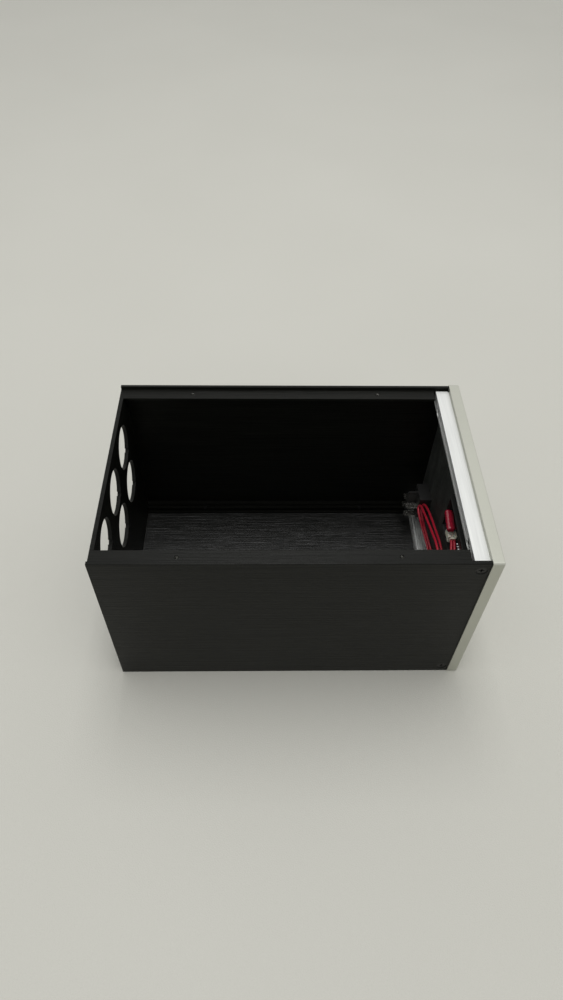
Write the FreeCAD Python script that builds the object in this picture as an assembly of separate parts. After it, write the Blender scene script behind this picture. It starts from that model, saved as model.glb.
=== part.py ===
"""Aluminium equipment chassis with its top cover off: two extruded side panels, flat bottom and
rear plates, a thick front plate on two cross rails, a panel meter with its lead, and a rocker switch.

Row frame in millimetres: +X towards the front plate, +Y towards the far side, +Z up, with the
origin at the bottom centre of the whole.
"""
import FreeCAD, Part
import math
import os

Vector = FreeCAD.Vector

# ---------------------------------------------------------------- driving dimensions (mm)
# body
body_length = 300.0
body_width = 198.0
body_height = 175.0

# side panel extrusion, measured in from its outer face and from its edge
side_wall = 3.0
cover_recess = 3.0
edge_round = 0.8
upper_ledge_reach = 15.2
lower_ledge_reach = 13.2
flange_thickness = 2.3
rib_inner = 7.8
rib_outer = 10.9
rib_rise = 4.7
block_rise = 2.2
channel_inset = 6.1
channel_height = 8.0
channel_radius = 1.25
cover_hole_inset = 8.7
bottom_hole_inset = 9.6
tapped_radius = 1.8
tapped_rear = 65.4
tapped_front = 66.2
ledge_end_gap = 2.0
rail_seat = 4.7

# flat plates
plate_gap = 0.1
bottom_thickness = 3.0
rear_thickness = 3.3

# six notched socket holes in the rear plate, the notch turned from straight down to the far side
socket_radius = 20.15
socket_columns = 3
socket_rows = 2
socket_pitch_y = 52.9
socket_pitch_z = 46.1
socket_offset_y = -1.6
socket_top_drop = 32.9
socket_notch_width = 4.0
socket_notch_depth = 2.6
socket_notch_turn = 36.0

# front plate and the black liner behind it
front_thickness = 9.0
front_overhang = 0.8
front_corner = 2.0
front_chamfer = 0.4
liner_thickness = 1.2
liner_gap = 0.3

# cross rails, square in section
rail_size = 12.0
rail_channel_in = 5.5
rail_channel_up = 6.5
rail_channel_radius = 1.8
rail_slot = 2.6
rail_step_width = 1.2
rail_step_depth = 0.8
rail_corner_step = 1.5
rail_groove_first = 2.85
rail_groove_pitch = 2.25
rail_groove_count = 4
rail_groove_width = 1.1
rail_groove_depth = 0.8
rail_bolt_inset = 26.0
rail_bolt_seat = 4.5

# fasteners
m4_head_radius = 3.9
m4_head_sink = 0.6
m4_core_radius = 1.75
m4_side_length = 14.0
m4_bottom_length = 9.5
m4_clearance_radius = 2.2
m4_recess = 4.4
m3_head_radius = 2.75
m3_core_radius = 1.2
m3_length = 9.0
m3_clearance_radius = 1.7
m3_recess = 3.2
recess_slot = 0.9
recess_depth = 1.5
cap_head_radius = 3.5
cap_head_height = 4.0
cap_shank_radius = 1.95
cap_shank_bite = 6.0
cap_socket = 1.5
cap_socket_depth = 2.0
cap_head_clearance = 0.3
tapped_clearance = 0.05
seat_clearance = 0.05

# panel meter
meter_y = -45.2
meter_drop = 50.2
meter_width = 76.0
meter_height = 38.5
meter_cut_clearance = 0.25
meter_depth = 19.0
meter_wall = 1.8
bezel_width = 79.5
bezel_height = 43.0
bezel_thickness = 3.0
bezel_round = 1.0
window_width = 67.0
window_height = 31.0
window_thickness = 1.5
window_land = 2.0
window_clearance = 0.1
board_setback = 5.8
board_thickness = 1.6
board_clearance = 0.3
board_post = 4.0
display_width = 50.0
display_height = 19.0
display_depth = 12.0
latch_width = 2.4
latch_height = 7.0
latch_reach = 3.0

# parts on the back of the meter's board, placed from the meter's centre
capacitor_length = 22.6
capacitor_height = 7.4
capacitor_thickness = 6.4
capacitor_round = 2.6
capacitor_stand = 1.2
capacitor_lean = 4.0
capacitor_lead_radius = 0.4
capacitor_lead_pitch = 15.0
capacitor_wall_gap = 0.5
capacitor_z = 1.6
header_length = 10.6
header_width = 7.2
header_height = 7.2
header_wall = 0.9
header_cavity = 7.4
header_y = 10.85
header_z = -7.0
plug_length = 8.6
plug_clearance = 0.1
plug_slot_length = 2.6
plug_slot_width = 1.3
plug_slot_depth = 0.8
pin_count = 3
pin_pitch = 2.8
pin_radius = 0.8
pin_height = 1.0
pin_y = -0.15
pin_z = -6.7

# rocker switch
switch_y = 67.4
switch_z = 46.8
switch_width = 22.0
switch_height = 28.5
switch_depth = 22.0
switch_cut_clearance = 0.2
switch_bezel_width = 25.4
switch_bezel_height = 31.0
switch_bezel_thickness = 2.2
switch_bezel_round = 0.9
switch_mouth_width = 19.0
switch_mouth_depth = 13.0
barrier_thickness = 1.6
barrier_depth = 10.6
barrier_round = 2.5
terminal_width = 6.3
terminal_thickness = 0.8
terminal_length = 12.0
terminal_hole = 0.9
terminal_pitch_y = 12.5
terminal_pitch_z = 12.3
rocker_proud = 6.0
rocker_gap = 0.35
rocker_face_half = 11.2
rocker_half_slope = 3.7
rocker_throw = 20.0
rocker_crown = 4.5
rocker_root = 3.5
trunnion_radius = 1.4
trunnion_length = 1.0
trunnion_clearance = 0.08

# twin lead of the meter
wire_radius = 1.15

# routes of the two wires, from the plug round to their loose ends
inner_wire_route = [
    (136.1, -35.55, 118.0), (135.5, -46.0, 117.6), (131.6, -62.0, 110.4), (129.9, -68.0, 93.0),
    (133.0, -57.0, 80.4), (135.0, -37.0, 79.8), (135.0, -14.0, 82.2), (135.0, 9.0, 75.0),
    (135.0, 28.0, 69.4), (135.0, 41.0, 64.1), (134.8, 49.6, 59.9), (134.1, 55.0, 56.4),
    (132.6, 54.9, 53.4), (131.4, 50.0, 51.6), (132.6, 43.8, 47.2), (135.0, 36.2, 40.4),
    (138.2, 23.5, 34.8), (139.9, 8.0, 32.0), (139.9, -10.0, 21.0), (139.6, -24.0, 16.4),
    (139.2, -37.0, 16.4),
]
outer_wire_route = [
    (133.7, -35.55, 118.0), (132.8, -45.0, 117.2), (128.6, -58.0, 109.0), (126.9, -62.5, 94.0),
    (129.2, -53.0, 84.6), (130.8, -35.0, 83.6), (130.8, -14.0, 84.2), (130.8, 7.0, 75.9),
    (130.8, 27.0, 67.7), (130.8, 40.5, 62.4), (130.7, 49.3, 58.6), (130.3, 54.8, 55.2),
    (129.2, 54.9, 51.8), (128.8, 50.5, 50.4), (130.2, 44.6, 46.6), (132.6, 37.0, 40.4),
    (135.8, 24.5, 34.3), (137.4, 8.5, 31.4), (137.4, -8.0, 21.0), (137.1, -21.0, 16.4),
    (136.5, -33.0, 16.4),
]

# ---------------------------------------------------------------- derived places
overall_length = body_length + front_thickness + rocker_proud
rear_x = -overall_length / 2
plate_back_x = rear_x + body_length
plate_front_x = plate_back_x + front_thickness
rail_x = plate_back_x - rail_size
liner_x = plate_back_x - liner_thickness
half_width = body_width / 2
inner_half = half_width - side_wall
ledge_top = body_height - cover_recess
flange_top = cover_recess + flange_thickness
rib_top = flange_top + rib_rise
block_top = rib_top + block_rise
tapped_x = (rear_x + tapped_rear, plate_back_x - tapped_front)
meter_z = body_height - meter_drop
socket_top_z = body_height - socket_top_drop
meter_rim_x = plate_front_x - meter_depth
board_x = meter_rim_x + board_setback
switch_back_x = plate_front_x - switch_depth


# ---------------------------------------------------------------- helpers
def box(x, y, z):
    """A box between two values on each axis."""
    return Part.makeBox(x[1] - x[0], y[1] - y[0], z[1] - z[0], Vector(x[0], y[0], z[0]))


def centred_box(x, y_centre, width, z_centre, height):
    """A box between two x values, centred on a line along X."""
    y = (y_centre - width / 2, y_centre + width / 2)
    z = (z_centre - height / 2, z_centre + height / 2)
    return box(x, y, z)


def prism(points, run):
    """A closed outline of points pushed along a vector."""
    corners = [Vector(*point) for point in points]
    outline = Part.makePolygon(corners + corners[:1])
    return Part.Face(outline).extrude(run)


def rod(radius, start, end):
    """A round bar between two points."""
    axis = Vector(*end) - Vector(*start)
    return Part.makeCylinder(radius, axis.Length, Vector(*start), axis)


def round_edges_along(shape, radius, axis, keep=lambda edge: True):
    """Fillet the straight edges that run along one axis and that pass a test."""
    chosen = []
    for edge in shape.Edges:
        run = edge.Vertexes[-1].Point - edge.Vertexes[0].Point
        if run.Length > 0 and abs(run.normalize().dot(axis)) > 0.999 and keep(edge):
            chosen.append(edge)
    return shape.makeFillet(radius, chosen)


def placed(shape, point, direction):
    """A shape made along +Z from the origin, turned to a direction and moved to a point."""
    turn = FreeCAD.Rotation(Vector(0, 0, 1), Vector(*direction))
    shape.Placement = FreeCAD.Placement(Vector(*point), turn)
    return shape


def mirrored(shape):
    """The same shape on the other side of the chassis."""
    return shape.mirror(Vector(0, 0, 0), Vector(0, 1, 0))


def write(node, shape):
    """Save one sub-part under its node name."""
    shape.exportStep(f"parts/{node}.step")


# ---------------------------------------------------------------- fasteners
def countersunk_screw(head_radius, core_radius, length, recess, point, direction):
    """A flat-head screw with a cross recess, its head flush at the point."""
    head_height = head_radius - core_radius
    head = Part.makeCone(head_radius, core_radius, head_height)
    shank = Part.makeCylinder(core_radius, length)
    screw = head.fuse(shank)
    for size in ((recess, recess_slot), (recess_slot, recess)):
        slot = Part.makeBox(size[0], size[1], recess_depth, Vector(-size[0] / 2, -size[1] / 2, 0))
        screw = screw.cut(slot)
    return placed(screw, point, direction)


def countersink(head_radius, clearance_radius, depth, point, direction):
    """The hole that takes such a screw: a cone at the face and a clear hole behind it."""
    mouth = head_radius + seat_clearance
    cone = Part.makeCone(mouth, clearance_radius, mouth - clearance_radius)
    hole = cone.fuse(Part.makeCylinder(clearance_radius, depth))
    return placed(hole, point, direction)


def cap_screw(point, direction):
    """A socket-head screw with its head's underside at the point."""
    shank = Part.makeCylinder(cap_shank_radius, rail_size - rail_bolt_seat + cap_shank_bite)
    head = Part.makeCylinder(cap_head_radius, cap_head_height, Vector(0, 0, -cap_head_height))
    corners = [math.radians(60 * step) for step in range(6)]
    hexagon = [(cap_socket * math.cos(a), cap_socket * math.sin(a), -cap_head_height) for a in corners]
    socket = prism(hexagon, Vector(0, 0, cap_socket_depth))
    return placed(shank.fuse(head).cut(socket), point, direction)


def rail_heights():
    """Heights of the two rails' screw channels."""
    height = cover_recess + rail_channel_up
    return (height, body_height - height)


def side_screw_places(sink):
    """The four screws that hold the rails' ends: point below the outer face and way in."""
    x = rail_x + rail_channel_in
    y = half_width - sink
    return [((x, side * y, z), (0, -side, 0)) for side in (-1, 1) for z in rail_heights()]


def rear_screw_places():
    """The four screws that hold the rear plate to the side panels' screw channels."""
    heights = (channel_height, body_height - channel_height)
    y = half_width - channel_inset
    return [((rear_x, side * y, z), (1, 0, 0)) for side in (-1, 1) for z in heights]


def bottom_screw_places():
    """The four screws that hold the bottom plate to the lower ledges."""
    y = half_width - bottom_hole_inset
    return [((x, side * y, 0), (0, 0, 1)) for side in (-1, 1) for x in tapped_x]


def rail_bolt_places():
    """The four screws that hold the rails to the front plate, at their heads' seats."""
    x = rail_x + rail_bolt_seat
    y = half_width - rail_bolt_inset
    return [((x, side * y, z), (1, 0, 0)) for side in (-1, 1) for z in rail_heights()]


# ---------------------------------------------------------------- body
def ledge_outline(reach):
    """One edge of the panel as (distance in from the outer face, height), up the stepped ledge."""
    return [
        (0, 0), (side_wall, 0), (side_wall, cover_recess), (reach, cover_recess),
        (reach, flange_top), (rib_outer, flange_top), (rib_outer, rib_top),
        (rib_inner, rib_top), (rib_inner, block_top), (side_wall, block_top),
    ]


def side_panel():
    """Near side panel: one extrusion with a stepped ledge and a screw channel along each edge."""
    lower = ledge_outline(lower_ledge_reach)
    upper = [(inset, body_height - z) for inset, z in reversed(ledge_outline(upper_ledge_reach))]
    section = [(rear_x, inset - half_width, z) for inset, z in lower + upper]
    panel = prism(section, Vector(body_length, 0, 0))
    outer_edge = lambda edge: edge.Vertexes[0].Y < edge_round - half_width
    panel = round_edges_along(panel, edge_round, Vector(1, 0, 0), outer_edge)

    across = (side_wall - half_width, upper_ledge_reach + 1 - half_width)
    between = (cover_recess, body_height - cover_recess)
    panel = panel.cut(box((rear_x, rear_x + rear_thickness), across, between))
    seat = (rail_seat - half_width, across[1])
    panel = panel.cut(box((rail_x - ledge_end_gap, plate_back_x), seat, between))

    for z in (channel_height, body_height - channel_height):
        y = channel_inset - half_width
        panel = panel.cut(rod(channel_radius, (rear_x, y, z), (plate_back_x, y, z)))
    lower_hole = (bottom_hole_inset - half_width, cover_recess, block_top)
    upper_hole = (cover_hole_inset - half_width, body_height - block_top, ledge_top)
    for x in tapped_x:
        for y, low, high in (lower_hole, upper_hole):
            panel = panel.cut(rod(tapped_radius, (x, y, low), (x, y, high)))
    for point, way in side_screw_places(0):
        if point[1] < 0:
            mouth = m4_head_radius + m4_head_sink
            panel = panel.cut(countersink(mouth, m4_clearance_radius, rail_seat, point, way))
    return panel


def bottom_plate():
    """Flat plate in the recess under the lower ledges."""
    half = inner_half - plate_gap
    plate = box((rear_x, plate_back_x), (-half, half), (0, bottom_thickness))
    for point, way in bottom_screw_places():
        plate = plate.cut(countersink(m4_head_radius, m4_clearance_radius, bottom_thickness, point, way))
    return plate


def socket_hole(y, z):
    """One round socket hole with a key notch low on its far side."""
    behind = rear_x - 1
    length = rear_thickness + 2
    hole = rod(socket_radius, (behind, y, z), (behind + length, y, z))
    notch_sides = (y - socket_notch_width / 2, y + socket_notch_width / 2)
    notch = box((behind, behind + length), notch_sides, (z - socket_radius - socket_notch_depth, z))
    notch.rotate(Vector(behind, y, z), Vector(1, 0, 0), socket_notch_turn)
    return hole.fuse(notch)


def socket_centres():
    """Centres of the socket holes, row by row from the top."""
    centres = []
    for row in range(socket_rows):
        for column in range(socket_columns):
            y = socket_offset_y + (column - (socket_columns - 1) / 2) * socket_pitch_y
            centres.append((y, socket_top_z - row * socket_pitch_z))
    return centres


def rear_plate():
    """Flat plate between the side panels with two rows of notched socket holes."""
    half = inner_half - plate_gap
    plate = box((rear_x, rear_x + rear_thickness), (-half, half), (bottom_thickness, ledge_top))
    for y, z in socket_centres():
        plate = plate.cut(socket_hole(y, z))
    for point, way in rear_screw_places():
        plate = plate.cut(countersink(m3_head_radius, m3_clearance_radius, rear_thickness, point, way))
    return plate


# ---------------------------------------------------------------- front
def meter_opening(x, clearance):
    """The cut-out that a meter housing passes through."""
    return centred_box(x, meter_y, meter_width + 2 * clearance, meter_z, meter_height + 2 * clearance)


def switch_opening(x, clearance):
    """The cut-out that the switch body passes through."""
    width = switch_width + 2 * clearance
    return centred_box(x, switch_y, width, switch_z, switch_height + 2 * clearance)


def front_plate():
    """Thick front plate, a little larger than the body, with the meter and switch cut-outs."""
    half = half_width + front_overhang
    x = (plate_back_x, plate_front_x)
    plate = box(x, (-half, half), (0, body_height + front_overhang))
    plate = round_edges_along(plate, front_corner, Vector(1, 0, 0))
    front_edges = [edge for edge in plate.Edges if edge.BoundBox.XMin > plate_front_x - 0.01]
    plate = plate.makeChamfer(front_chamfer, front_edges)
    plate = plate.cut(meter_opening(x, meter_cut_clearance))
    plate = plate.cut(switch_opening(x, switch_cut_clearance))
    radius = cap_shank_radius + tapped_clearance
    for point, _ in rail_bolt_places():
        depth = plate_back_x + cap_shank_bite + 0.5
        plate = plate.cut(rod(radius, (plate_back_x, point[1], point[2]), (depth, point[1], point[2])))
    return plate


def front_liner():
    """Thin black sheet on the back of the front plate, between the two rails."""
    half = inner_half - plate_gap
    foot = cover_recess + rail_size
    x = (liner_x, plate_back_x)
    sheet = box(x, (-half, half), (foot, body_height - foot))
    sheet = sheet.cut(meter_opening(x, meter_cut_clearance + liner_gap))
    return sheet.cut(switch_opening(x, switch_cut_clearance + liner_gap))


def rail_section():
    """Rail outline as (distance from the inner side, distance from the outer face)."""
    step = rail_size - rail_step_width
    outline = [(0, 0), (step, 0), (step, rail_step_depth), (rail_size, rail_step_depth), (rail_size, rail_size)]
    for count in reversed(range(rail_groove_count)):
        middle = rail_groove_first + count * rail_groove_pitch
        low = rail_size - rail_groove_depth
        for edge, depth in ((1, rail_size), (1, low), (-1, low), (-1, rail_size)):
            outline.append((middle + edge * rail_groove_width / 2, depth))
    corner = rail_groove_first - rail_groove_pitch + rail_groove_width / 2
    outline += [(corner, rail_size), (corner, rail_size - rail_corner_step), (0, rail_size - rail_corner_step)]
    return outline


def front_rail():
    """Lower cross rail: a square bar with a screw channel, an open slot and fine grooves inside."""
    half = half_width - rail_seat
    section = [(rail_x + across, -half, cover_recess + up) for across, up in rail_section()]
    rail = prism(section, Vector(0, 2 * half, 0))
    centre_x = rail_x + rail_channel_in
    centre_z = cover_recess + rail_channel_up
    rail = rail.cut(rod(rail_channel_radius, (centre_x, -half, centre_z), (centre_x, half, centre_z)))
    rail = rail.cut(box((rail_x, centre_x), (-half, half), (centre_z - rail_slot / 2, centre_z + rail_slot / 2)))
    seat_x = rail_x + rail_bolt_seat
    for side in (-1, 1):
        y = side * (half_width - rail_bolt_inset)
        head = rod(cap_head_radius + cap_head_clearance, (rail_x, y, centre_z), (seat_x, y, centre_z))
        hole = rod(m4_clearance_radius, (rail_x, y, centre_z), (plate_back_x, y, centre_z))
        rail = rail.cut(head).cut(hole)
    return rail


# ---------------------------------------------------------------- meter
def meter_housing():
    """Black housing with a front bezel, open at the back, with posts that carry the board."""
    shell = meter_opening((meter_rim_x, plate_front_x), 0)
    bezel_x = (plate_front_x, plate_front_x + bezel_thickness)
    bezel = centred_box(bezel_x, meter_y, bezel_width, meter_z, bezel_height)
    outer = [edge for edge in bezel.Edges if edge.BoundBox.XMax > plate_front_x + 0.01]
    shell = shell.fuse(bezel.makeFillet(bezel_round, outer)).removeSplitter()

    inner_width = meter_width - 2 * meter_wall
    inner_height = meter_height - 2 * meter_wall
    face_x = plate_front_x + bezel_thickness - window_thickness - window_land
    shell = shell.cut(centred_box((meter_rim_x, face_x), meter_y, inner_width, meter_z, inner_height))
    sight_width = window_width - 2 * window_land
    sight_height = window_height - 2 * window_land
    front_x = plate_front_x + bezel_thickness
    shell = shell.cut(centred_box((face_x, front_x), meter_y, sight_width, meter_z, sight_height))
    rebate_x = (front_x - window_thickness, front_x)
    shell = shell.cut(centred_box(rebate_x, meter_y, window_width, meter_z, window_height))

    post_x = (board_x + board_thickness, face_x)
    for side in (-1, 1):
        for level in (-1, 1):
            y = meter_y + side * (inner_width - board_post) / 2
            z = meter_z + level * (inner_height - board_post) / 2
            shell = shell.fuse(centred_box(post_x, y, board_post, z, board_post))
    latch_x = (meter_rim_x + latch_width, meter_rim_x + 2 * latch_width)
    latch_top = meter_z + meter_height / 2 - 1
    far = meter_y + meter_width / 2
    latch = [(latch_x[0], far, latch_top), (latch_x[0], far + latch_reach, latch_top),
             (latch_x[0], far, latch_top - latch_height)]
    return shell.fuse(prism(latch, Vector(latch_width, 0, 0))).removeSplitter()


def meter_window():
    """Tinted window in the bezel's rebate."""
    front_x = plate_front_x + bezel_thickness
    width = window_width - 2 * window_clearance
    height = window_height - 2 * window_clearance
    return centred_box((front_x - window_thickness, front_x), meter_y, width, meter_z, height)


def meter_board():
    """Circuit board on the housing's posts."""
    width = meter_width - 2 * meter_wall - 2 * board_clearance
    height = meter_height - 2 * meter_wall - 2 * board_clearance
    return centred_box((board_x, board_x + board_thickness), meter_y, width, meter_z, height)


def meter_display():
    """Digit block on the front of the board."""
    x = board_x + board_thickness
    return centred_box((x, x + display_depth), meter_y, display_width, meter_z, display_height)


def meter_capacitor():
    """Dipped film capacitor standing off the back of the board on two leads, leaning a little."""
    top = board_x - capacitor_stand
    y = meter_y + meter_width / 2 - meter_wall - capacitor_wall_gap - capacitor_length / 2
    z = meter_z + capacitor_z
    body = centred_box((top - capacitor_height, top), y, capacitor_length, z, capacitor_thickness)
    body = body.makeFillet(capacitor_round, body.Edges)
    middle = top - capacitor_height / 2
    body.rotate(Vector(middle, y, z), Vector(0, 0, 1), -capacitor_lean)
    for side in (-1, 1):
        lead_y = y + side * capacitor_lead_pitch / 2
        body = body.fuse(rod(capacitor_lead_radius, (middle, lead_y, z), (board_x, lead_y, z)))
    return body


def header_place():
    """Sides of the wire header: its y range and the z of its middle."""
    far = meter_y + header_y + header_length
    return (far - header_length, far), meter_z + header_z


def meter_header():
    """White side-entry header, open towards the near side and over the plug's contacts."""
    y, z = header_place()
    x = (board_x - header_height, board_x)
    body = centred_box(x, (y[0] + y[1]) / 2, header_length, z, header_width)
    inside = (x[0] + header_wall, x[1] - header_wall)
    half = header_width / 2 - header_wall
    body = body.cut(box(inside, (y[0], y[0] + header_cavity), (z - half, z + half)))
    window = (x[0] + 2 * header_wall, inside[1])
    return body.cut(box(window, (y[0], y[0] + header_cavity - 1), (z, z + header_width / 2)))


def lead_plug():
    """White two-way plug seated in the header, with a latch slot over each contact."""
    y, z = header_place()
    x = (board_x - header_height + header_wall + plug_clearance, board_x - header_wall - plug_clearance)
    half = header_width / 2 - header_wall - plug_clearance
    end = y[0] + header_cavity
    body = box(x, (end - plug_length, end), (z - half, z + half))
    slot_y = (y[0] + 1, y[0] + 1 + plug_slot_length)
    quarter = (x[1] - x[0]) / 4
    for middle in (x[0] + quarter, x[1] - quarter):
        slot_x = (middle - plug_slot_width / 2, middle + plug_slot_width / 2)
        body = body.cut(box(slot_x, slot_y, (z + half - plug_slot_depth, z + half)))
    return body


def meter_pins():
    """Row of short pins on the back of the board."""
    pins = []
    for count in range(pin_count):
        y = meter_y + pin_y + count * pin_pitch
        z = meter_z + pin_z
        pins.append(rod(pin_radius, (board_x - pin_height, y, z), (board_x, y, z)))
    return Part.Compound(pins)


# ---------------------------------------------------------------- switch
def rocker_crest():
    """How far the rocker's two raised edges stand out from its pivot axis."""
    return rocker_crown + rocker_face_half * math.tan(math.radians(rocker_half_slope))


def rocker_sweep():
    """Radius that the rocker's rounded ends keep to as it tips."""
    return math.hypot(rocker_crest(), rocker_face_half)


def rocker_pivot():
    """Pivot axis of the rocker, set so that its raised edge stands rocker_proud off the plate."""
    rest = math.radians(rocker_throw / 2)
    raised = rocker_crest() * math.cos(rest) + rocker_face_half * math.sin(rest)
    return plate_front_x + rocker_proud - raised


def switch_body():
    """Black switch body with its bezel, a rear barrier between the poles and the rocker's mouth."""
    body = switch_opening((switch_back_x, plate_front_x), 0)
    bezel_x = (plate_front_x, plate_front_x + switch_bezel_thickness)
    bezel = centred_box(bezel_x, switch_y, switch_bezel_width, switch_z, switch_bezel_height)
    outer = [edge for edge in bezel.Edges if edge.BoundBox.XMax > plate_front_x + 0.01]
    body = body.fuse(bezel.makeFillet(switch_bezel_round, outer)).removeSplitter()
    barrier_x = (switch_back_x - barrier_depth, switch_back_x)
    barrier = centred_box(barrier_x, switch_y, barrier_thickness, switch_z, switch_height)
    at_back = lambda edge: edge.BoundBox.XMax < switch_back_x - 1
    barrier = round_edges_along(barrier, barrier_round, Vector(0, 1, 0), at_back)
    body = body.fuse(barrier)
    mouth_front = plate_front_x + switch_bezel_thickness
    mouth_x = (mouth_front - switch_mouth_depth, mouth_front)
    mouth_height = 2 * (rocker_sweep() + rocker_gap)
    body = body.cut(centred_box(mouth_x, switch_y, switch_mouth_width, switch_z, mouth_height))
    half = switch_mouth_width / 2 + trunnion_length + trunnion_clearance
    axis_x = rocker_pivot()
    ends = ((axis_x, switch_y - half, switch_z), (axis_x, switch_y + half, switch_z))
    return body.cut(rod(trunnion_radius + trunnion_clearance, *ends))


def switch_rocker():
    """Rocker with a shallow V face, tipped to its rest position, with a trunnion at each side."""
    axis_x = rocker_pivot()
    sweep = rocker_sweep()
    half = sweep + 1
    crest = rocker_crown + half * math.tan(math.radians(rocker_half_slope))
    root = rocker_root
    outline = [(crest, half), (rocker_crown, 0), (crest, -half), (0, -half), (-root, -rocker_face_half / 2),
               (-root, rocker_face_half / 2), (0, half)]
    width = switch_mouth_width - 2 * rocker_gap
    near = switch_y - width / 2
    points = [(axis_x + out, near, switch_z + up) for out, up in outline]
    rocker = prism(points, Vector(0, width, 0))
    rocker = rocker.common(rod(sweep, (axis_x, near - 1, switch_z), (axis_x, near + width + 1, switch_z)))
    reach = switch_mouth_width / 2 + trunnion_length
    ends = ((axis_x, switch_y - reach, switch_z), (axis_x, switch_y + reach, switch_z))
    rocker = rocker.fuse(rod(trunnion_radius, *ends))
    rocker.rotate(Vector(axis_x, switch_y, switch_z), Vector(0, 1, 0), rocker_throw / 2)
    return rocker


def switch_terminals():
    """Four flat tabs at the back of the switch, a pair for each pole."""
    tabs = []
    x = (switch_back_x - terminal_length, switch_back_x)
    for side in (-1, 1):
        for row in (0, 1):
            y = switch_y + side * terminal_pitch_y / 2
            z = switch_z - row * terminal_pitch_z
            tab = centred_box(x, y, terminal_width, z, terminal_thickness)
            tip = lambda edge: edge.BoundBox.XMax < switch_back_x - 1
            tab = round_edges_along(tab, terminal_width / 5, Vector(0, 0, 1), tip)
            hole_x = x[0] + terminal_width / 2
            low = z - terminal_thickness
            high = z + terminal_thickness
            tabs.append(tab.cut(rod(terminal_hole, (hole_x, y, low), (hole_x, y, high))))
    return Part.Compound(tabs)


# ---------------------------------------------------------------- twin lead
def bent_path(name, route):
    """Straight runs joined by tangent arcs, each as large as the shorter of its two runs allows."""
    points = [Vector(*point) for point in route]
    edges = []
    start = points[0]
    radii = []
    for before, corner, after in zip(points, points[1:], points[2:]):
        back = (before - corner).normalize()
        ahead = (after - corner).normalize()
        turn = math.pi - back.getAngle(ahead)
        setback = 0.45 * min((before - corner).Length, (after - corner).Length)
        radius = setback / math.tan(turn / 2)
        radii.append(radius)
        first = corner + back * setback
        last = corner + ahead * setback
        inward = (back + ahead).normalize()
        middle = corner + inward * (radius / math.cos(turn / 2) - radius)
        edges.append(Part.LineSegment(start, first).toShape())
        edges.append(Part.Arc(first, middle, last).toShape())
        start = last
    edges.append(Part.LineSegment(start, points[-1]).toShape())
    path = Part.Wire(edges)
    print(name, "length %.1f" % path.Length, "radii", " ".join("%.1f" % radius for radius in radii))
    return path


def wire(name, route):
    """One insulated wire of the lead as a plain tube along its route."""
    path = bent_path(name, route)
    start = Vector(*route[0])
    way = Vector(*route[1]) - start
    ring = Part.Wire(Part.makeCircle(wire_radius, start, way))
    tube = path.makePipeShell([ring], True, False)
    print(name, "volume %.1f of %.1f" % (tube.Volume, path.Length * math.pi * wire_radius ** 2))
    return tube


# ---------------------------------------------------------------- build
def main():
    os.makedirs("parts", exist_ok=True)
    near_panel = side_panel()
    lower_rail = front_rail()
    middle = Vector(0, 0, body_height / 2)
    write("side_panel_near", near_panel)
    write("side_panel_far", mirrored(near_panel))
    write("bottom_plate", bottom_plate())
    write("rear_plate", rear_plate())
    write("front_plate", front_plate())
    write("front_liner", front_liner())
    write("front_rail_bottom", lower_rail)
    write("front_rail_top", lower_rail.mirror(middle, Vector(0, 0, 1)))

    m4_side = (m4_head_radius, m4_core_radius, m4_side_length, m4_recess)
    m4_bottom = (m4_head_radius, m4_core_radius, m4_bottom_length, m4_recess)
    m3 = (m3_head_radius, m3_core_radius, m3_length, m3_recess)
    write("rail_end_screws", Part.Compound([countersunk_screw(*m4_side, *at) for at in side_screw_places(m4_head_sink)]))
    write("rear_plate_screws", Part.Compound([countersunk_screw(*m3, *at) for at in rear_screw_places()]))
    write("bottom_plate_screws", Part.Compound([countersunk_screw(*m4_bottom, *at) for at in bottom_screw_places()]))
    write("front_plate_screws", Part.Compound([cap_screw(*at) for at in rail_bolt_places()]))

    write("meter_housing", meter_housing())
    write("meter_window", meter_window())
    write("meter_board", meter_board())
    write("meter_display", meter_display())
    write("meter_capacitor", meter_capacitor())
    write("meter_header", meter_header())
    write("meter_pins", meter_pins())
    write("lead_plug", lead_plug())
    write("lead_wire_inner", wire("lead_wire_inner", inner_wire_route))
    write("lead_wire_outer", wire("lead_wire_outer", outer_wire_route))

    write("switch_body", switch_body())
    write("switch_rocker", switch_rocker())
    write("switch_terminals", switch_terminals())


main()
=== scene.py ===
# %% [markdown]
# # An equipment case of black aluminium, with its lid off
# The case is two extruded side panels, thin bottom and rear plates, and a thick front plate.
# A panel meter and a rocker switch sit in the front plate, and the meter's red twin lead lies loose inside.
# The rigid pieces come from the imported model. This lesson gives each one its finish, and adds the
# pieces that are easier to make here: the soft lead, screw threads, digits, solder and marks.

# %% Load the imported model
import math

import bpy
from mathutils import Matrix, Vector


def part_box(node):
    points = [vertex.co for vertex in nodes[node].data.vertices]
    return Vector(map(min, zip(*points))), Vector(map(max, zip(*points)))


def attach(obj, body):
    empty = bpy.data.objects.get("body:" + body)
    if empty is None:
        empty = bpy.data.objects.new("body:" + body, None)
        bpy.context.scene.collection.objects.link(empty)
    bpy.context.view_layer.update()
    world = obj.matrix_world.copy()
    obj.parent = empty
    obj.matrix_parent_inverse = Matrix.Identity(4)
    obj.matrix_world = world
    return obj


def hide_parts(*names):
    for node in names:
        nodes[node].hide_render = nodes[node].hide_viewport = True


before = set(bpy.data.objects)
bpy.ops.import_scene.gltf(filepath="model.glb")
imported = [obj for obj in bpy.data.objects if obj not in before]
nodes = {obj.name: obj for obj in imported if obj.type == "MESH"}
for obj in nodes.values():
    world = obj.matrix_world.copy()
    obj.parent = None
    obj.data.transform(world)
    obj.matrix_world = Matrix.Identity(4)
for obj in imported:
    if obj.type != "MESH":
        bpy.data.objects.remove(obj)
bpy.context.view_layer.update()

MM = 0.001
print("pieces from the model:", len(nodes))

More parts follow.
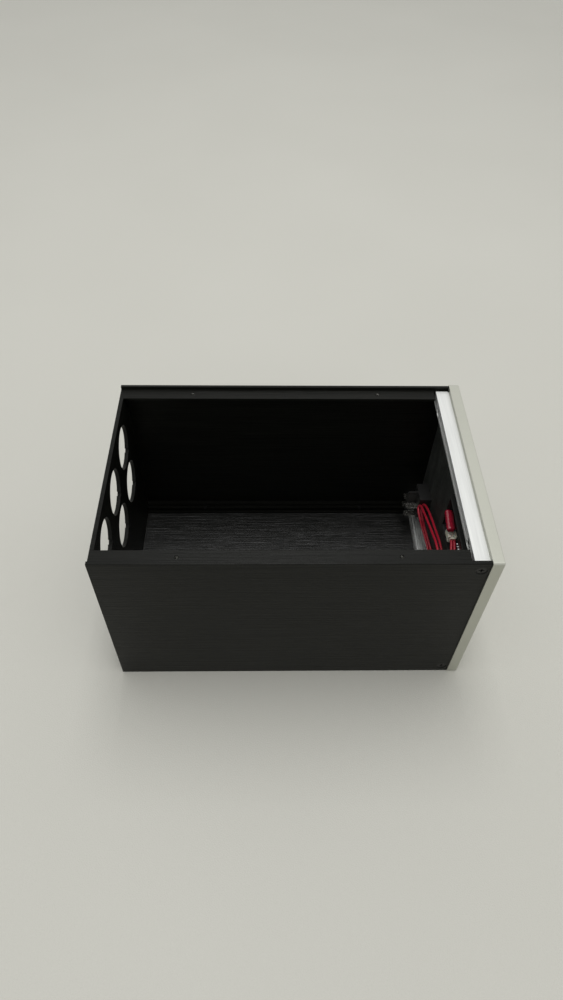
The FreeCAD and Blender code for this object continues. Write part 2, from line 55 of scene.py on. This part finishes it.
# %% [markdown]
# ## The camera
# A wide phone lens looks down into the open case from its near side.
# The camera is turned in three steps: level heading, then pitch, then a small roll about its own
# line of sight.
# Writing it as a product of three rotations keeps each angle readable, where one Euler triple would mix them.

# %% Place the camera
CAMERA_AT = Vector((-24.78, -386.02, 595.77)) * MM
HEADING = math.radians(1.898)
PITCH = math.radians(50.359)
ROLL = math.radians(1.450)
LENS = 24.9

lens = bpy.data.cameras.new("camera")
lens.lens = LENS
lens.sensor_width = 36
camera = bpy.data.objects.new("camera", lens)
bpy.context.scene.collection.objects.link(camera)
level = Matrix.Rotation(math.radians(90) - PITCH, 4, "X")
camera.matrix_world = (
    Matrix.Translation(CAMERA_AT)
    @ Matrix.Rotation(-HEADING, 4, "Z")
    @ level
    @ Matrix.Rotation(ROLL, 4, "Z")
)
bpy.context.scene.camera = camera

# %% [markdown]
# ## The red twin lead
# Two thin silicone wires leave the meter's plug side by side, run under the meter, cross to the switch,
# fold back in a narrow loop and come to rest on the lower rail. A wire this soft has no straight stretch
# and no sharp corner, so each is one NURBS curve, which stays smooth whatever its few control points do.
# A bevel gives the curve its round insulation. The bevel is one unit deep and each point's radius holds
# the wire's real radius, because the curve's box grows by the points' radii.

# %% Lay the wires
WIRE_RADIUS = 1.15
INNER_ROUTE = [
    (136.1, -35.55, 118.0), (135.5, -46.0, 117.6), (131.6, -62.0, 110.4), (129.9, -68.0, 93.0),
    (133.0, -57.0, 80.4), (135.0, -37.0, 79.8), (135.0, -14.0, 82.2), (135.0, 9.0, 75.0),
    (135.0, 28.0, 69.4), (135.0, 41.0, 64.1), (134.8, 49.6, 59.9), (134.1, 55.0, 56.4),
    (132.6, 54.9, 53.4), (131.4, 50.0, 51.6), (132.6, 43.8, 47.2), (135.0, 36.2, 40.4),
    (138.2, 23.5, 34.8), (139.9, 8.0, 32.0), (139.9, -10.0, 21.0), (139.6, -24.0, 16.4),
    (139.2, -37.0, 16.4),
]
OUTER_ROUTE = [
    (133.7, -35.55, 118.0), (132.8, -45.0, 117.2), (128.6, -58.0, 109.0), (126.9, -62.5, 94.0),
    (129.2, -53.0, 84.6), (130.8, -35.0, 83.6), (130.8, -14.0, 84.2), (130.8, 7.0, 75.9),
    (130.8, 27.0, 67.7), (130.8, 40.5, 62.4), (130.7, 49.3, 58.6), (130.3, 54.8, 55.2),
    (129.2, 54.9, 51.8), (128.8, 50.5, 50.4), (130.2, 44.6, 46.6), (132.6, 37.0, 40.4),
    (135.8, 24.5, 34.3), (137.4, 8.5, 31.4), (137.4, -8.0, 21.0), (137.1, -21.0, 16.4),
    (136.5, -33.0, 16.4),
]


def lay_wire(name, route):
    """One insulated wire along its control points, as a bevelled NURBS curve."""
    curve = bpy.data.curves.new(name, "CURVE")
    curve.dimensions = "3D"
    curve.bevel_depth = 1  # the radius of each point sets the thickness
    curve.bevel_resolution = 5
    curve.use_fill_caps = True
    curve.resolution_u = 12
    spline = curve.splines.new("NURBS")
    spline.points.add(len(route) - 1)
    for point, place in zip(spline.points, route):
        point.co = (*(Vector(place) * MM), 1)
        point.radius = WIRE_RADIUS * MM
    spline.order_u = 3
    spline.use_endpoint_u = True
    wire = bpy.data.objects.new(name, curve)
    bpy.context.scene.collection.objects.link(wire)
    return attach(wire, "chassis")


inner_wire = lay_wire("red_lead_inner", INNER_ROUTE)
outer_wire = lay_wire("red_lead_outer", OUTER_ROUTE)
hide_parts("lead_wire_inner")
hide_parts("lead_wire_outer")

# %% [markdown]
# ## Shader maths that reads like maths
# A finish is a small formula: a mask times a colour, plus some grain. Wiring Math nodes by hand hides it,
# so one class wraps a number socket and each operator adds its node.
# Everything else comes from one method, which takes the node's type, its settings and its sockets.

# %% A value that does arithmetic, and a finish that makes nodes
class Amount:
    """A number that a node gives, with the operators that the finishes use."""

    def __init__(self, finish, socket):
        self.finish = finish
        self.socket = socket

    def work(self, operation, *numbers):
        sockets = dict(enumerate(numbers))
        return self.finish.number("ShaderNodeMath", sockets, operation=operation)

    def __add__(self, other):
        return self.work("ADD", self, other)

    def __sub__(self, other):
        return self.work("SUBTRACT", self, other)

    def __rsub__(self, other):
        return self.work("SUBTRACT", other, self)

    def __mul__(self, other):
        return self.work("MULTIPLY", self, other)

    __radd__ = __add__
    __rmul__ = __mul__

    def between(self, low, high):
        """0 below low, 1 above high, and a smooth step from one to the other."""
        sockets = {"Value": self, "From Min": low, "From Max": high}
        return self.finish.number("ShaderNodeMapRange", sockets, interpolation_type="SMOOTHSTEP")


class Finish:
    """A material being made. Fixed values go on the shader's own sockets, and patterns are linked to them."""

    def __init__(self, name, fixed):
        self.material = bpy.data.materials.new(name)
        self.material.use_nodes = True
        self.shader = self.material.node_tree.nodes["Principled BSDF"]
        self.fill(self.shader, fixed)

    def fill(self, node, sockets):
        for name, value in sockets.items():
            if isinstance(value, Amount):
                value = value.socket
            if isinstance(value, bpy.types.NodeSocket):
                self.material.node_tree.links.new(value, node.inputs[name])
            else:
                node.inputs[name].default_value = value

    def node(self, kind, sockets, **settings):
        node = self.material.node_tree.nodes.new(kind)
        for name, value in settings.items():
            setattr(node, name, value)
        self.fill(node, sockets)
        return node

    def number(self, kind, sockets, **settings):
        return Amount(self, self.node(kind, sockets, **settings).outputs[0])

    def place(self, scale):
        """Object coordinates in metres, stretched by a scale along each axis."""
        where = self.node("ShaderNodeTexCoord", {}).outputs["Object"]
        return self.node("ShaderNodeVectorMath", {0: where, 1: scale}, operation="MULTIPLY").outputs[0]

    def noise(self, scale, detail=2.0, roughness=0.5):
        """Cloudy noise with its own number of cycles a metre along each axis."""
        sockets = {"Vector": self.place(scale), "Scale": 1.0, "Detail": detail, "Roughness": roughness}
        return self.number("ShaderNodeTexNoise", sockets)

    def mix(self, share, first, second):
        """One colour where the share is 0 and the other where it is 1."""
        node = self.node("ShaderNodeMix", {0: share, 6: first, 7: second}, data_type="RGBA")
        return node.outputs[2]

    def paint(self, **patterns):
        """Link patterns to the shader's color, roughness and alpha."""
        names = {"color": "Base Color", "roughness": "Roughness", "alpha": "Alpha"}
        self.fill(self.shader, {names[key]: value for key, value in patterns.items()})

    def bump(self, height, depth):
        """Relief of that depth in metres, where the height goes from 0 to 1."""
        sockets = {"Height": height, "Distance": depth, "Strength": 1.0}
        self.fill(self.shader, {"Normal": self.node("ShaderNodeBump", sockets).outputs[0]})


def dress(finish, *names):
    """Give a finish to CAD nodes, in every material slot that they have."""
    for name in names:
        mesh = nodes[name].data
        if not mesh.materials:
            mesh.materials.append(finish.material)
        for index in range(len(mesh.materials)):
            mesh.materials[index] = finish.material


# %% [markdown]
# ## Black anodised aluminium, brushed
# The panels are brushed along their length before they are dyed black, so the surface is a stack of very
# long, very fine scratches. They could be an image or an anisotropic shader. Here they are noise squeezed
# to about 0.7 mm across and stretched to centimetres along X: it tilts the normals only across the brush,
# which smears each highlight across the lines, as real brushing does, and it survives a bake.

# %% Brushed black panels
def brushed_black(name, gloss, depth):
    finish = Finish(name, {"Metallic": 0.0, "IOR": 1.45, "Specular IOR Level": gloss})
    lines = finish.noise((14, 1300, 1300), detail=3, roughness=0.65)
    broad = finish.noise((5, 160, 160), detail=2)
    cloud = finish.noise((9, 9, 9), detail=3)
    share = lines.between(0.3, 0.75) * 0.8 + broad * 0.3
    finish.paint(
        color=finish.mix(share, (0.0018, 0.0020, 0.0014, 1), (0.0080, 0.0084, 0.0066, 1)),
        roughness=lines * 0.16 + cloud * 0.12 + 0.22,
    )
    finish.bump(lines * 0.8 + broad * 0.2, depth)
    return finish


dress(brushed_black("brushed_black", 0.15, 0.00034), "side_panel_near", "side_panel_far", "rear_plate")
dress(brushed_black("brushed_black_floor", 0.8, 0.00050), "bottom_plate")

# %% [markdown]
# ## Satin front plate
# The front plate is blasted to a fine satin, so its grain has no direction.
# A metallic share below 1 leaves some of the soft white of an anodised coat.

# %% Silver front plate, with a bead-blasted satin
def satin_silver():
    finish = Finish("satin_silver", {"Metallic": 0.85, "IOR": 1.5})
    grain = finish.noise((900, 900, 900), detail=3, roughness=0.7)
    cloud = finish.noise((14, 14, 14), detail=3)
    finish.paint(
        color=finish.mix(cloud * 0.5 + grain * 0.5, (0.44, 0.445, 0.39, 1), (0.54, 0.545, 0.485, 1)),
        roughness=grain * 0.12 + 0.40,
    )
    finish.bump(grain, 0.00003)
    return finish


dress(satin_silver(), "front_plate")

# %% [markdown]
# ## Rails
# The rails run across the case, so their fine lines are stretched along Y.

# %% Bright rails
def rail_silver():
    finish = Finish("rail_silver", {"Metallic": 0.45, "IOR": 1.5})
    lines = finish.noise((1500, 20, 1500), detail=3)
    finish.paint(
        color=finish.mix(lines, (0.62, 0.63, 0.62, 1), (0.85, 0.86, 0.84, 1)),
        roughness=lines * 0.2 + 0.25,
    )
    finish.bump(lines, 0.00004)
    return finish


dress(rail_silver(), "front_rail_top", "front_rail_bottom")

# %% [markdown]
# ## Liner
# The black sheet behind the front plate is dusty and creased. Fine noise is the dust, and broad noise is the
# creases: it raises them in the bump and paints their ridges lighter, which is a painted glint on the
# creases.

# %% Dusty liner behind the front plate, with painted glints on its creases
def liner_dust_and_glint():
    finish = Finish("liner_dust_and_glint", {"IOR": 1.45, "Specular IOR Level": 0.4})
    fibre = finish.noise((500, 260, 260), detail=4, roughness=0.75)
    crease_relief_and_glint = finish.noise((20, 60, 14), detail=4, roughness=0.6)
    # The crease share lightens the crease ridges: a painted glint, standing in for the light that the creases
    # would catch.
    share = fibre.between(0.35, 0.7) * 0.5 + crease_relief_and_glint.between(0.4, 0.75) * 0.5
    finish.paint(
        color=finish.mix(share, (0.014, 0.016, 0.014, 1), (0.085, 0.09, 0.083, 1)),
        roughness=fibre * 0.2 + 0.5,
    )
    finish.bump(crease_relief_and_glint * 0.8 + fibre * 0.2, 0.0006)
    return finish


dress(liner_dust_and_glint(), "front_liner")

# %% [markdown]
# ## Screws
# The screws of the black parts are blackened, and those in the front plate are bright.

# %% Screws
def blackened_steel():
    finish = Finish("blackened_steel", {"Metallic": 0.7})
    grain = finish.noise((1400, 1400, 1400), detail=2)
    finish.paint(color=finish.mix(grain, (0.008, 0.008, 0.008, 1), (0.03, 0.03, 0.028, 1)),
                 roughness=grain * 0.2 + 0.25)
    finish.bump(grain, 0.00003)
    return finish


def bright_steel():
    finish = Finish("bright_steel", {"Metallic": 1.0})
    grain = finish.noise((1400, 1400, 1400), detail=2)
    finish.paint(color=finish.mix(grain, (0.42, 0.42, 0.41, 1), (0.62, 0.62, 0.6, 1)),
                 roughness=grain * 0.2 + 0.2)
    return finish


dress(blackened_steel(), "rail_end_screws", "rear_plate_screws", "bottom_plate_screws")
dress(bright_steel(), "front_plate_screws")

# %% [markdown]
# ## Meter and switch plastics
# Moulded parts share one dark plastic, which is only smoother on the rocker. The window is smoked,
# so it lets some of the display through.

# %% Meter and switch plastics
def moulded_black(name, roughness, depth):
    finish = Finish(name, {"IOR": 1.5})
    grain = finish.noise((1100, 1100, 1100), detail=3)
    haze = finish.noise((70, 70, 70), detail=2)
    finish.paint(color=finish.mix(haze, (0.009, 0.009, 0.009, 1), (0.022, 0.022, 0.021, 1)),
                 roughness=grain * 0.15 + roughness)
    finish.bump(grain, depth)
    return finish


dress(moulded_black("moulded_black", 0.42, 0.00006), "meter_housing", "switch_body")
dress(moulded_black("glossy_rocker", 0.14, 0.000006), "switch_rocker")


def smoked_window():
    finish = Finish("smoked_window", {"Transmission Weight": 0.0, "IOR": 1.49})
    dust = finish.noise((400, 400, 400), detail=3).between(0.55, 0.8)
    finish.paint(color=finish.mix(dust, (0.02, 0.006, 0.006, 1), (0.06, 0.05, 0.05, 1)),
                 roughness=dust * 0.15 + 0.05, alpha=dust * 0.1 + 0.72)
    return finish


def board_green():
    finish = Finish("board_green", {"IOR": 1.5})
    weave = finish.noise((900, 900, 900), detail=2)
    finish.paint(color=finish.mix(weave, (0.006, 0.008, 0.007, 1), (0.016, 0.02, 0.017, 1)),
                 roughness=weave * 0.1 + 0.3)
    return finish


def display_face():
    finish = Finish("display_face", {"IOR": 1.5})
    grain = finish.noise((700, 700, 700), detail=2)
    finish.paint(color=finish.mix(grain, (0.008, 0.008, 0.008, 1), (0.014, 0.014, 0.014, 1)),
                 roughness=grain * 0.1 + 0.35)
    return finish


dress(smoked_window(), "meter_window")
dress(board_green(), "meter_board")
dress(display_face(), "meter_display")

# %% [markdown]
# ## Parts on the meter's board
# The capacitor is dipped in red epoxy under a clear coat, the header and the plug are cream nylon,
# and the pins and the tabs are tinned.

# %% Parts on the meter's board
def red_epoxy():
    finish = Finish("red_epoxy", {"IOR": 1.55, "Coat Weight": 0.6, "Coat Roughness": 0.06})
    skin = finish.noise((260, 260, 260), detail=2)
    finish.paint(color=finish.mix(skin, (0.20, 0.006, 0.018, 1), (0.34, 0.012, 0.032, 1)),
                 roughness=skin * 0.12 + 0.14)
    finish.bump(skin, 0.0002)
    return finish


def cream_nylon():
    finish = Finish("cream_nylon", {"IOR": 1.5, "Subsurface Weight": 0.1, "Subsurface Scale": 0.001})
    grain = finish.noise((600, 600, 600), detail=3)
    finish.paint(color=finish.mix(grain, (0.66, 0.63, 0.52, 1), (0.8, 0.78, 0.68, 1)),
                 roughness=grain * 0.15 + 0.35)
    finish.bump(grain, 0.00003)
    return finish


def bright_tin(name, dull, bright):
    finish = Finish(name, {"Metallic": 1.0})
    grain = finish.noise((900, 900, 900), detail=3)
    finish.paint(color=finish.mix(grain, dull, bright), roughness=grain * 0.25 + 0.12)
    finish.bump(grain, 0.00005)
    return finish


solder = bright_tin("solder", (0.7, 0.71, 0.72, 1), (0.9, 0.9, 0.9, 1))
tinned = bright_tin("tinned_brass", (0.6, 0.58, 0.5, 1), (0.85, 0.84, 0.8, 1))
cream = cream_nylon()
dress(red_epoxy(), "meter_capacitor")
dress(cream, "meter_header", "lead_plug")
dress(solder, "meter_pins")
dress(tinned, "switch_terminals")

# %% [markdown]
# ## Wire insulation
# Silicone is soft and even, with a broad sheen.

# %% Wire insulation
def silicone_red():
    finish = Finish("silicone_red", {"IOR": 1.45, "Specular IOR Level": 0.6})
    skin = finish.noise((700, 700, 700), detail=2)
    finish.paint(color=finish.mix(skin, (0.40, 0.012, 0.03, 1), (0.52, 0.02, 0.045, 1)),
                 roughness=skin * 0.15 + 0.27)
    finish.bump(skin, 0.00005)
    return finish


insulation = silicone_red()
for wire in (inner_wire, outer_wire):
    wire.data.materials.append(insulation.material)

# %% [markdown]
# ## Small pieces made here
# Each starts as a primitive of the right size and is shaped in edit mode, and the wound pieces also with the
# Screw modifier.
# Its place goes into its mesh at the end, so that its patterns stay put when a body moves.

# %% Helpers for new pieces
def start(vertices, radius, turn=(0, 0, 0), fill="NOTHING"):
    """A new circle, alone in the selection."""
    bpy.ops.object.select_all(action="DESELECT")
    bpy.ops.mesh.primitive_circle_add(vertices=vertices, radius=radius * MM, fill_type=fill, rotation=turn)
    return bpy.context.object


def settle(piece, name, place, finish, body="chassis"):
    """Move a finished piece to its place, keep that in its mesh, and let it ride on a body."""
    piece.data.transform(place @ piece.matrix_basis)
    piece.matrix_basis = Matrix.Identity(4)
    piece.name = name
    piece.data.name = name
    piece.data.materials.append(finish.material)
    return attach(piece, body)


def coil(bead_sides, bead, reach, pitch, turns):
    """A closed bead wound up the Z axis, for a thread or for twisted strands."""
    piece = start(bead_sides, bead, turn=(math.radians(90), 0, 0))
    bpy.ops.object.mode_set(mode="EDIT")
    bpy.ops.mesh.select_all(action="SELECT")
    bpy.ops.transform.translate(value=(reach * MM, 0, 0))
    bpy.ops.object.mode_set(mode="OBJECT")
    bpy.ops.object.transform_apply(location=True, rotation=True, scale=True)
    bpy.ops.object.modifier_add(type="SCREW")
    winding = piece.modifiers[0]
    winding.angle = 2 * math.pi * turns
    winding.screw_offset = pitch * turns * MM
    winding.steps = int(18 * turns)
    winding.render_steps = winding.steps
    winding.use_smooth_shade = bead_sides > 4
    bpy.ops.object.modifier_apply(modifier=winding.name)
    bpy.ops.object.mode_set(mode="EDIT")
    bpy.ops.mesh.select_all(action="SELECT")
    bpy.ops.mesh.fill_holes(sides=bead_sides)
    bpy.ops.mesh.select_all(action="SELECT")
    bpy.ops.mesh.normals_make_consistent(inside=False)
    bpy.ops.object.mode_set(mode="OBJECT")
    return piece


def join(pieces):
    """One mesh from several."""
    bpy.ops.object.select_all(action="DESELECT")
    for piece in pieces:
        piece.select_set(True)
    bpy.context.view_layer.objects.active = pieces[0]
    bpy.ops.object.join()
    return pieces[0]


# %% [markdown]
# ## Threads in the cover's holes
# The four holes along the top ledges are tapped for the lid's screws. A thread is a V-shaped ridge that
# winds up the wall, so a small triangle is wound with the Screw modifier, once for each hole.

# %% Wind the threads
HOLE_X = (-92.1, 76.3)
HOLE_Y = 90.3
THREAD_PITCH = 0.7
THREAD_TURNS = 9
LEDGE_TOP = 172.0
thread_finish = bright_tin("cut_thread", (0.16, 0.16, 0.15, 1), (0.4, 0.4, 0.38, 1))
for row, y in (("near", -HOLE_Y), ("far", HOLE_Y)):
    for end, x in zip(("rear", "front"), HOLE_X):
        ridge = coil(3, 0.26, 1.72, THREAD_PITCH, THREAD_TURNS)
        foot = LEDGE_TOP - THREAD_PITCH * THREAD_TURNS - 0.4
        place = Matrix.Translation(Vector((x, y, foot)) * MM)
        settle(ridge, f"tapped_thread_{row}_{end}", place, thread_finish)

# %% [markdown]
# ## Stripped ends of the lead
# The loose ends are stripped and twisted. Three beads wound round one axis make the strands.

# %% Twist the bare ends
STRIP = 4.5
TWIST_PITCH = 3.0
for name, route in (("inner", INNER_ROUTE), ("outer", OUTER_ROUTE)):
    strands = []
    for count in range(3):
        strand = coil(8, 0.27, 0.30, TWIST_PITCH, STRIP / TWIST_PITCH)
        strand.data.transform(Matrix.Rotation(math.radians(120 * count), 4, "Z"))
        strands.append(strand)
    last = Vector(route[-1])
    way = (last - Vector(route[-2])).normalized()
    place = Matrix.Translation((last - way * 0.4) * MM) @ way.to_track_quat("Z", "Y").to_matrix().to_4x4()
    settle(join(strands), f"bare_strands_{name}", place, tinned)

# %% [markdown]
# ## Meter: digits and solder
# The meter shows three seven-segment digits, dark while it is off. A segment is a six-sided bar, so a
# hexagon is stretched and extruded. Each pin on the back of the board has a cone of solder round it.

# %% Seven-segment digits
def segment(length, width, height):
    """A flat bar with pointed ends, lying along X."""
    bar = start(6, 0.5, fill="NGON")
    bpy.ops.object.mode_set(mode="EDIT")
    bpy.ops.mesh.select_all(action="SELECT")
    bpy.ops.mesh.extrude_region_move(TRANSFORM_OT_translate={"value": (0, 0, height * MM)})
    bpy.ops.mesh.select_all(action="SELECT")
    bpy.ops.mesh.normals_make_consistent(inside=False)
    bpy.ops.transform.resize(value=(1, width / (0.5 * math.sqrt(3)), 1))
    bpy.ops.object.mode_set(mode="OBJECT")
    for vertex in bar.data.vertices:
        vertex.co.x += math.copysign((length - 1) / 2 * MM, vertex.co.x)
    return bar


DIGIT_WIDTH = 7.4
DIGIT_HEIGHT = 13.6
DIGIT_STEP = 15.0
display_low, display_high = (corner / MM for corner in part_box("meter_display"))
display_middle = (display_low + display_high) / 2
bars = []
for digit in (-1, 0, 1):
    centre = Vector((display_high.x, display_middle.y + digit * DIGIT_STEP, display_middle.z))
    flat = [(0, level * DIGIT_HEIGHT / 2) for level in (-1, 0, 1)]
    upright = [(side * DIGIT_WIDTH / 2, level * DIGIT_HEIGHT / 4) for side in (-1, 1) for level in (-1, 1)]
    for across, up in flat + upright:
        bar = segment(DIGIT_WIDTH - 1.2, 1.5, 0.25)
        turn = 90 if across else 0
        bar.data.transform(Matrix.Rotation(math.radians(turn), 4, "Z"))
        bar.data.transform(Matrix.Rotation(math.radians(90), 4, "X"))
        bar.data.transform(Matrix.Rotation(math.radians(90), 4, "Z"))
        bar.data.transform(Matrix.Translation((centre + Vector((0, across, up))) * MM))
        bars.append(bar)


def unlit_segment():
    finish = Finish("unlit_segment", {"IOR": 1.5})
    frost = finish.noise((500, 500, 500), detail=2)
    finish.paint(color=finish.mix(frost, (0.16, 0.14, 0.13, 1), (0.24, 0.21, 0.2, 1)),
                 roughness=frost * 0.1 + 0.4)
    return finish


settle(join(bars), "display_segments", Matrix.Identity(4), unlit_segment())

# %% [markdown]
# ## Solder
# A disc is raised in five steps, and each step is narrower than the one below it.

# %% Solder cones round the pins
pin_low, pin_high = (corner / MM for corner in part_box("meter_pins"))
cones = []
for count in range(3):
    y = pin_low.y + 0.8 + count * (pin_high.y - pin_low.y - 1.6) / 2
    cone = start(20, 1.25, fill="NGON")
    bpy.ops.object.mode_set(mode="EDIT")
    bpy.ops.mesh.select_all(action="SELECT")
    for rise, shrink in ((0.18, 0.86), (0.22, 0.84), (0.35, 0.9), (0.35, 0.82), (0.12, 0.6)):
        bpy.ops.mesh.extrude_region_move(TRANSFORM_OT_translate={"value": (0, 0, rise * MM)})
        bpy.ops.transform.resize(value=(shrink, shrink, 1))
    bpy.ops.mesh.select_all(action="SELECT")
    bpy.ops.mesh.normals_make_consistent(inside=False)
    bpy.ops.object.mode_set(mode="OBJECT")
    bpy.ops.object.shade_smooth_by_angle(angle=math.radians(50))
    cone.data.transform(Matrix.Rotation(math.radians(-90), 4, "Y"))
    cone.data.transform(Matrix.Translation(Vector((pin_high.x, y, (pin_low.z + pin_high.z) / 2)) * MM))
    cones.append(cone)
settle(join(cones), "solder_joints", Matrix.Identity(4), solder)

# %% [markdown]
# ## Marks on the rocker
# A bar for on and a ring for off are printed on the two halves of the rocker's shallow V face.
# They are thin raised pieces that ride on the rocker, so that they tip with it.

# %% Bar and ring
ROCKER_PIVOT = Vector((150.41, 67.4, 46.8))
ROCKER_TIP = math.radians(10.0)
FACE_SLOPE = math.radians(3.7)
CROWN = 4.5
MARK_UP = 6.4
MARK_DEPTH = 0.12


def white_print():
    finish = Finish("white_print", {"IOR": 1.45})
    wear = finish.noise((800, 800, 800), detail=2)
    finish.paint(color=finish.mix(wear, (0.6, 0.6, 0.58, 1), (0.75, 0.75, 0.73, 1)),
                 roughness=wear * 0.2 + 0.4)
    return finish


def on_rocker(half):
    """Frame of the upper (1) or lower (-1) half of the rocker's face, with Z out of the face."""
    out = CROWN + MARK_UP * math.tan(FACE_SLOPE)
    return (
        Matrix.Translation(ROCKER_PIVOT * MM)
        @ Matrix.Rotation(ROCKER_TIP, 4, "Y")
        @ Matrix.Translation(Vector((out - 0.02, 0, half * MARK_UP)) * MM)
        @ Matrix.Rotation(math.radians(90) + half * FACE_SLOPE, 4, "Y")
    )


printed = white_print()
settle(segment(5.0, 0.9, MARK_DEPTH), "on_bar", on_rocker(1), printed, "rocker")
ring = start(40, 1.9)
bpy.ops.object.mode_set(mode="EDIT")
bpy.ops.mesh.select_all(action="SELECT")
bpy.ops.mesh.extrude_edges_move(TRANSFORM_OT_translate={"value": (0, 0, 0)})
bpy.ops.transform.resize(value=(1.42, 1.42, 1))
bpy.ops.mesh.select_all(action="SELECT")
bpy.ops.mesh.extrude_region_move(TRANSFORM_OT_translate={"value": (0, 0, MARK_DEPTH * MM)})
bpy.ops.mesh.select_all(action="SELECT")
bpy.ops.mesh.normals_make_consistent(inside=False)
bpy.ops.object.mode_set(mode="OBJECT")
settle(ring, "off_ring", on_rocker(-1), printed, "rocker")

# %% [markdown]
# ## Floor and light
# The case stands on a pale sheet under one broad soft light, with a plain pale room round it.

# %% Set the floor and the lights
def pale_sheet():
    finish = Finish("pale_sheet", {"IOR": 1.45, "Specular IOR Level": 0.3})
    grain = finish.noise((900, 900, 900), detail=3, roughness=0.7)
    broad = finish.noise((3, 3, 3), detail=2)
    finish.paint(color=finish.mix(grain * 0.6 + broad * 0.4, (0.50, 0.495, 0.45, 1), (0.60, 0.595, 0.55, 1)),
                 roughness=grain * 0.2 + 0.45)
    finish.bump(grain, 0.0002)
    return finish


bpy.ops.object.select_all(action="DESELECT")
bpy.ops.mesh.primitive_plane_add(size=9, location=(0, 1.5, 0))
floor = bpy.context.object
floor.name = "floor"
floor.data.materials.append(pale_sheet().material)

ROOM_STRENGTH = 0.72
world = bpy.data.worlds.new("room")
bpy.context.scene.world = world
world.use_nodes = True
world.node_tree.nodes["Background"].inputs["Color"].default_value = (1.0, 1.0, 0.98, 1)
world.node_tree.nodes["Background"].inputs["Strength"].default_value = ROOM_STRENGTH


def soft_light(name, place, aim, width, depth, power):
    """A rectangular area light at a place, facing a point."""
    data = bpy.data.lights.new(name, "AREA")
    data.shape = "RECTANGLE"
    data.size = width
    data.size_y = depth
    data.energy = power
    light = bpy.data.objects.new(name, data)
    bpy.context.scene.collection.objects.link(light)
    light.location = place
    light.rotation_euler = (Vector(aim) - Vector(place)).to_track_quat("-Z", "Y").to_euler()
    return light


LIGHT_AT = (0.0, 0.25, 1.9)
LIGHT_WIDTH = 0.45
LIGHT_DEPTH = 1.6
LIGHT_POWER = 15
soft_light("overhead", LIGHT_AT, (0, 0, 0), LIGHT_WIDTH, LIGHT_DEPTH, LIGHT_POWER)

bpy.context.scene.view_settings.view_transform = "Standard"

# %% [markdown]
# ## Finish
# The view layer is updated, so that every piece stands in its place.

# %% Compare the finished boxes and finish
bpy.context.view_layer.update()
